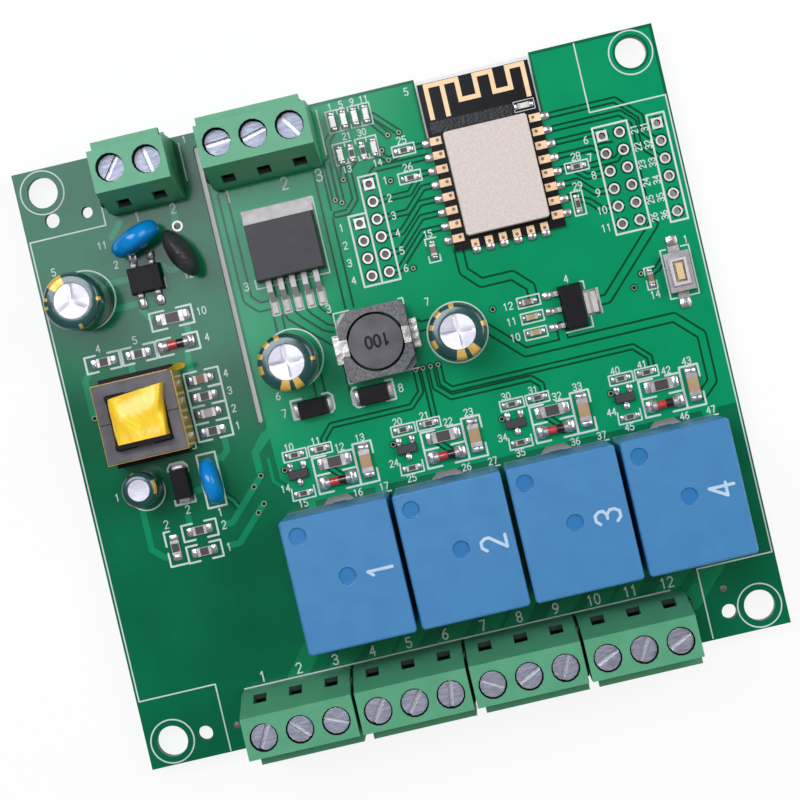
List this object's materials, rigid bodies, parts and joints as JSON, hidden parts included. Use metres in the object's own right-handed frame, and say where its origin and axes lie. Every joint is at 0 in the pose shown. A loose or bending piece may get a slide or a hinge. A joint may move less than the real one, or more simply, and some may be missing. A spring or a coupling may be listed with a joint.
{
  "type": "relay module board",
  "caption": "Mains powered wireless relay board: sealed relays, screw terminals, isolated supply, step-down supply, wireless module, header rows and a reset switch.",
  "frame": {"origin": "centre of the four corner holes, on the underside of the circuit board", "axes": "+Z out of the component side of the board, +X along the row of relays, +Y towards the edge with the antenna and the supply terminals"},
  "size_m": [0.093, 0.0893, 0.0189],
  "materials": {
    "board_mask": "satin",
    "bobbin_black": "moulded",
    "button_cream": "moulded",
    "capacitor_ceramic": "fired",
    "capacitor_sleeve": "shrink sleeve",
    "chip_ceramic": "fired",
    "diode_glass": "glass body",
    "dip_black": "dipped",
    "dip_blue": "dipped",
    "ferrite": "matt",
    "module_board": "satin",
    "package_black": "moulded",
    "relay_blue": "satin",
    "shield_metal": "matt plated",
    "terminal_green": "moulded",
    "tinned_metal": "tinned",
    "winding_tape": "glossy tape",
    "zinc_steel": "zinc plated"
  },
  "bodies": {
    "board": {"auxiliary_capacitor": "capacitor_sleeve", "bridge_rectifier_body": "package_black", "bridge_rectifier_leads": "tinned_metal", "buck_regulator_body": "package_black", "buck_regulator_leads": "tinned_metal", "bulk_capacitor": "capacitor_sleeve", "chip_capacitors": "capacitor_ceramic", "chip_resistors": "chip_ceramic", "circuit_board": "board_mask", "glass_diodes": "diode_glass", "indicator_leds": "capacitor_ceramic", "inductor_drum": "ferrite", "inductor_shield": "ferrite", "inductor_terminals": "tinned_metal", "input_capacitor": "capacitor_sleeve", "inrush_thermistor": "dip_black", "linear_regulator_body": "package_black", "linear_regulator_leads": "tinned_metal", "output_capacitor": "capacitor_sleeve", "radial_leads": "tinned_metal", "rectifier_diodes": "package_black", "relay_case_1": "relay_blue", "relay_case_2": "relay_blue", "relay_case_3": "relay_blue", "relay_case_4": "relay_blue", "relay_pins": "tinned_metal", "relay_transistors": "package_black", "reset_switch_base": "bobbin_black", "reset_switch_cover": "shield_metal", "reset_switch_dome": "shield_metal", "reset_switch_leads": "tinned_metal", "safety_capacitor": "dip_blue", "surge_varistor": "dip_blue", "terminal_clamps_mains": "zinc_steel", "terminal_clamps_relay_1": "zinc_steel", "terminal_clamps_relay_2": "zinc_steel", "terminal_clamps_relay_3": "zinc_steel", "terminal_clamps_relay_4": "zinc_steel", "terminal_clamps_supply": "zinc_steel", "terminal_housing_mains": "terminal_green", "terminal_housing_relay_1": "terminal_green", "terminal_housing_relay_2": "terminal_green", "terminal_housing_relay_3": "terminal_green", "terminal_housing_relay_4": "terminal_green", "terminal_housing_supply": "terminal_green", "terminal_screws_mains": "zinc_steel", "terminal_screws_relay_1": "zinc_steel", "terminal_screws_relay_2": "zinc_steel", "terminal_screws_relay_3": "zinc_steel", "terminal_screws_relay_4": "zinc_steel", "terminal_screws_supply": "zinc_steel", "transformer_bobbin": "bobbin_black", "transformer_core_half_1": "ferrite", "transformer_core_half_2": "ferrite", "transformer_pins": "tinned_metal", "transformer_tape": "winding_tape", "transformer_winding": "winding_tape", "wifi_module_board": "module_board", "wifi_shield_can": "shield_metal"},
    "button": {"reset_button": "button_cream"}
  },
  "joints": [
    {"name": "reset_press", "type": "slide", "parent": "board", "child": "button", "axis": [0, 0, -1], "range_m": [0, 0.00025], "stiffness_N_per_m": 400}
  ]
}
